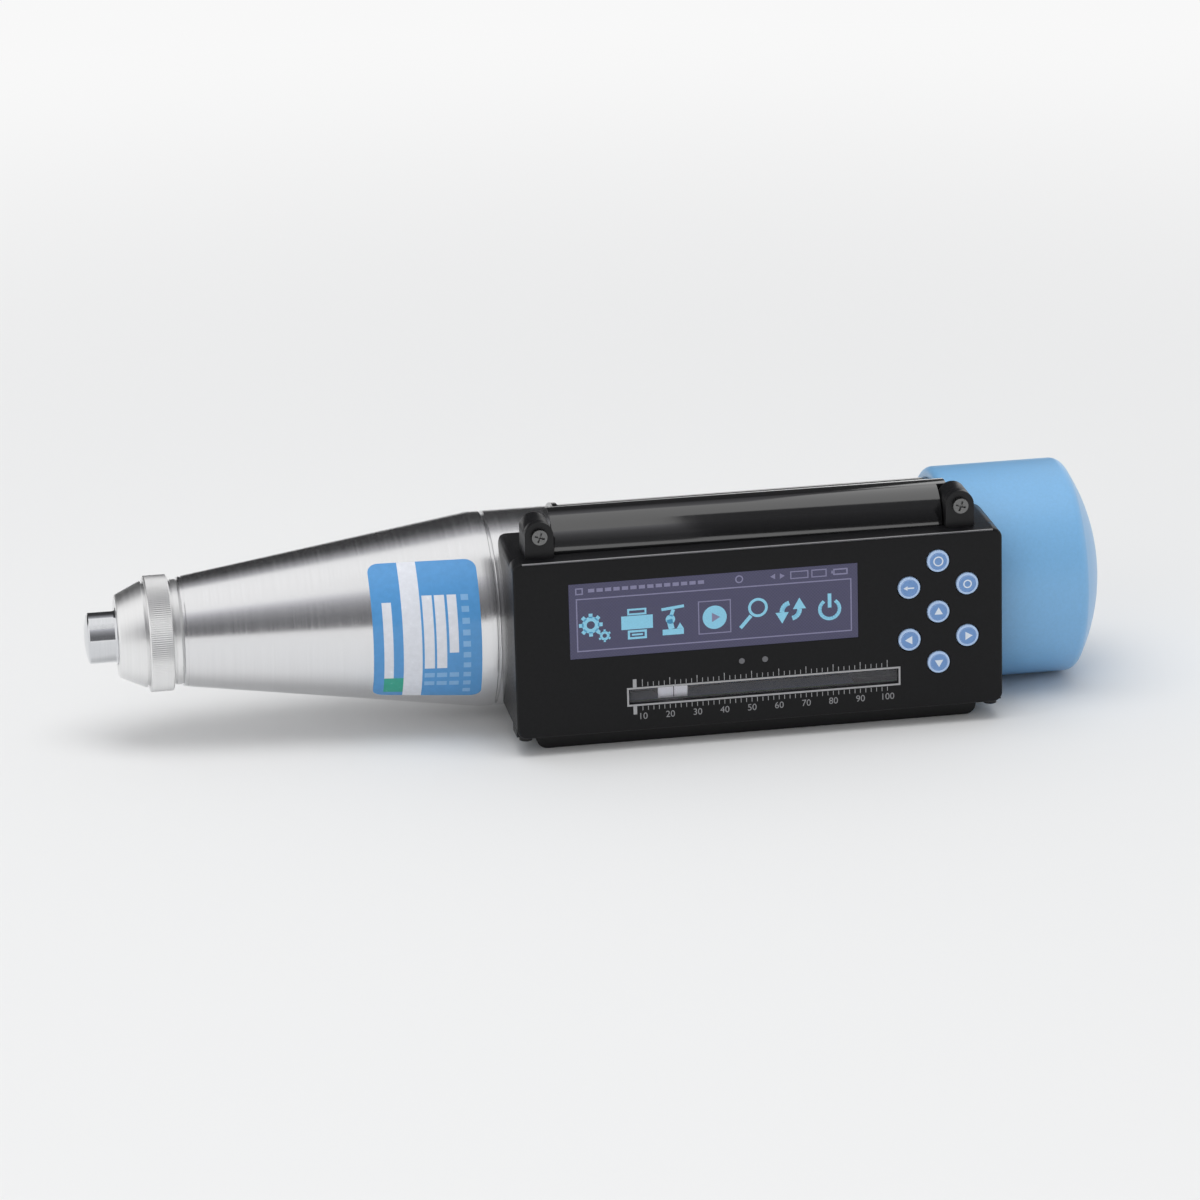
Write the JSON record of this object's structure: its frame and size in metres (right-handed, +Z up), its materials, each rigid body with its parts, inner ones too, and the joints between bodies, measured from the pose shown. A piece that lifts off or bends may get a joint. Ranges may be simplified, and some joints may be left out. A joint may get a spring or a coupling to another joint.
{
  "type": "concrete test hammer",
  "caption": "Hand-held rebound hammer for testing concrete: spring-driven plunger in a tapered metal barrel, display housing with keys and pointer scale, domed rear cap",
  "frame": {"origin": "on the hammer axis, in the middle of the plunger's striking land", "axes": "+X along the hammer axis from the plunger to the rear cap, the display faces -Y, +Z is up as it lies on its base cover"},
  "size_m": [0.2818, 0.0758, 0.0649],
  "materials": {
    "steel": "ground and polished steel",
    "spring_steel": "drawn spring wire",
    "bare_metal": "turned and polished light metal",
    "satin_metal": "satin light metal",
    "black_coat": "satin black coating",
    "black_plastic": "satin black plastic",
    "black_panel": "glossy black sheet",
    "blue_plastic": "light blue moulded plastic",
    "clear_sheet": "clear sheet",
    "bearing_brass": "machined brass",
    "felt": "pressed felt",
    "board_green": "solder-masked board",
    "dark_module": "black electronic module",
    "cell_wrap": "wrapped rechargeable pack",
    "sticker": "printed sticker with no lettering",
    "lamp_clear": "clear lamp"
  },
  "bodies": {
    "casing": {"nose_cap": "satin_metal", "felt_seal": "felt", "split_ring": "steel", "guide_sleeve": "bearing_brass", "front_barrel": "bare_metal", "cone_label": "sticker", "middle_barrel": "black_coat", "rear_plug": "satin_metal", "trip_screw": "steel", "lock_nut": "steel", "rear_cap": "blue_plastic", "impact_spring": "spring_steel", "compression_spring": "spring_steel", "saddle_case": "black_plastic", "top_hood": "black_coat", "front_case": "black_plastic", "face_panel": "black_panel", "display_glass": "clear_sheet", "display_module": "dark_module", "main_board": "board_green", "key_switches": "dark_module", "sensor_strip": "board_green", "scale_window": "clear_sheet", "rider_rod": "steel", "battery": "cell_wrap", "base_cover": "black_plastic", "cover_screws": "steel", "speaker": "dark_module", "charge_socket": "steel", "status_lamps": "lamp_clear", "ear_screws": "steel", "corner_screws": "steel", "lock_bush": "black_plastic", "lock_spring": "spring_steel"},
    "hammer": {"hammer_mass": "steel"},
    "pawl": {"pawl": "steel"},
    "pointer": {"pointer_rider": "satin_metal"},
    "lock_button": {"lock_button": "satin_metal"},
    "striker": {"plunger": "steel", "guide_bar": "steel", "buffer_spring": "spring_steel", "guide_disk": "bearing_brass", "pawl_pin": "steel", "pawl_spring": "spring_steel"},
    "key_top": {"key_top": "blue_plastic"},
    "key_upper_left": {"key_upper_left": "blue_plastic"},
    "key_upper_right": {"key_upper_right": "blue_plastic"},
    "key_middle": {"key_middle": "blue_plastic"},
    "key_lower_left": {"key_lower_left": "blue_plastic"},
    "key_lower_right": {"key_lower_right": "blue_plastic"},
    "key_bottom": {"key_bottom": "blue_plastic"}
  },
  "joints": [
    {"name": "plunger_slide", "type": "slide", "parent": "casing", "child": "striker", "axis": [-1, 0, 0], "range_m": [0, 0.075], "deforming": ["compression_spring"]},
    {"name": "hammer_slide", "type": "slide", "parent": "casing", "child": "hammer", "axis": [-1, 0, 0], "range_m": [-0.075, 0], "deforming": ["impact_spring"]},
    {"name": "pawl_pivot", "type": "hinge", "parent": "striker", "child": "pawl", "pos_m": [0.2358, 0, 0.017], "axis": [0, -1, 0], "range_deg": [0, 20], "deforming": ["pawl_spring"]},
    {"name": "pointer_slide", "type": "slide", "parent": "casing", "child": "pointer", "axis": [1, 0, 0], "range_m": [-0.009, 0.0585]},
    {"name": "lock_press", "type": "slide", "parent": "casing", "child": "lock_button", "axis": [0, -1, 0], "range_m": [0, 0.003], "stiffness_N_per_m": 300, "springref_m": -0.001, "deforming": ["lock_spring"]},
    {"name": "key_top_press", "type": "slide", "parent": "casing", "child": "key_top", "axis": [0, 1, 0], "range_m": [0, 0.0005], "stiffness_N_per_m": 200, "springref_m": -0.0005},
    {"name": "key_upper_left_press", "type": "slide", "parent": "casing", "child": "key_upper_left", "axis": [0, 1, 0], "range_m": [0, 0.0005], "stiffness_N_per_m": 200, "springref_m": -0.0005},
    {"name": "key_upper_right_press", "type": "slide", "parent": "casing", "child": "key_upper_right", "axis": [0, 1, 0], "range_m": [0, 0.0005], "stiffness_N_per_m": 200, "springref_m": -0.0005},
    {"name": "key_middle_press", "type": "slide", "parent": "casing", "child": "key_middle", "axis": [0, 1, 0], "range_m": [0, 0.0005], "stiffness_N_per_m": 200, "springref_m": -0.0005},
    {"name": "key_lower_left_press", "type": "slide", "parent": "casing", "child": "key_lower_left", "axis": [0, 1, 0], "range_m": [0, 0.0005], "stiffness_N_per_m": 200, "springref_m": -0.0005},
    {"name": "key_lower_right_press", "type": "slide", "parent": "casing", "child": "key_lower_right", "axis": [0, 1, 0], "range_m": [0, 0.0005], "stiffness_N_per_m": 200, "springref_m": -0.0005},
    {"name": "key_bottom_press", "type": "slide", "parent": "casing", "child": "key_bottom", "axis": [0, 1, 0], "range_m": [0, 0.0005], "stiffness_N_per_m": 200, "springref_m": -0.0005}
  ]
}
